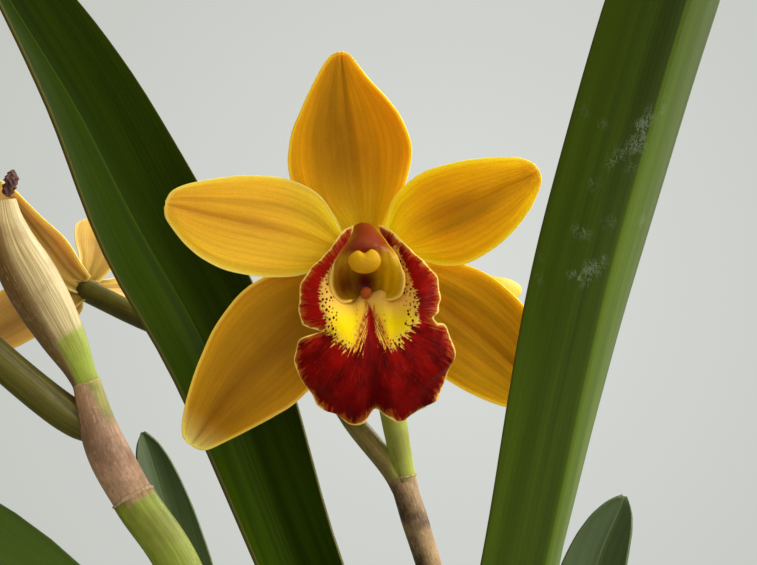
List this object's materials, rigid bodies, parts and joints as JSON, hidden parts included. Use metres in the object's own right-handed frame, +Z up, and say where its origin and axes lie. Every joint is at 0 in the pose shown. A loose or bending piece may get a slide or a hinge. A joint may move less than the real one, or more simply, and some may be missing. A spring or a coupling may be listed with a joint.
{
  "type": "potted orchid",
  "caption": "Cymbidium orchid with strap leaves, egg-shaped bulbs and arching spikes of yellow blooms with dark red lips, growing in bark in a flared clay pot.",
  "frame": {"origin": "centre of the pot's underside", "axes": "+Z up; the best bloom looks along -Y, so +X is to the right of someone facing it"},
  "size_m": [0.6641, 0.6388, 0.6883],
  "materials": {
    "terracotta": "matte",
    "bark": "matte",
    "bulb": "satin",
    "leaf": "satin",
    "stem": "satin",
    "pod": "matte",
    "withered": "matte",
    "petal": "satin",
    "lip": "satin",
    "column": "satin",
    "anther_cap": "satin",
    "bud": "satin"
  },
  "bodies": {
    "root": {"pot": "terracotta", "bark_mix": "bark", "bulb_front": "bulb", "bulb_right": "bulb", "bulb_left": "bulb", "bulb_back": "bulb", "leaf_01": "leaf", "leaf_02": "leaf", "leaf_03": "leaf", "leaf_04": "leaf", "leaf_05": "leaf", "leaf_06": "leaf", "leaf_07": "leaf", "leaf_08": "leaf", "leaf_09": "leaf", "leaf_10": "leaf", "leaf_11": "leaf", "leaf_12": "leaf", "leaf_13": "leaf", "leaf_14": "leaf", "leaf_15": "leaf", "leaf_16": "leaf", "leaf_17": "leaf", "leaf_18": "leaf", "middle_spike_stem": "stem", "left_spike_stem": "stem", "spent_pod": "pod", "withered_flower": "withered", "best_bloom_dorsal_sepal": "petal", "best_bloom_left_petal": "petal", "best_bloom_right_petal": "petal", "best_bloom_left_sepal": "petal", "best_bloom_right_sepal": "petal", "best_bloom_lip": "lip", "best_bloom_column": "column", "best_bloom_anther_cap": "anther_cap", "back_bloom": "petal", "near_left_bloom_tepals": "petal", "near_left_bloom_lip": "lip", "near_left_bloom_column": "column", "far_left_bloom_tepals": "petal", "far_left_bloom_lip": "lip", "far_left_bloom_column": "column", "upper_left_bloom_tepals": "petal", "upper_left_bloom_lip": "lip", "upper_left_bloom_column": "column", "bud_behind": "bud", "bud_top_left": "bud", "bud_top_right": "bud"}
  },
  "joints": []
}
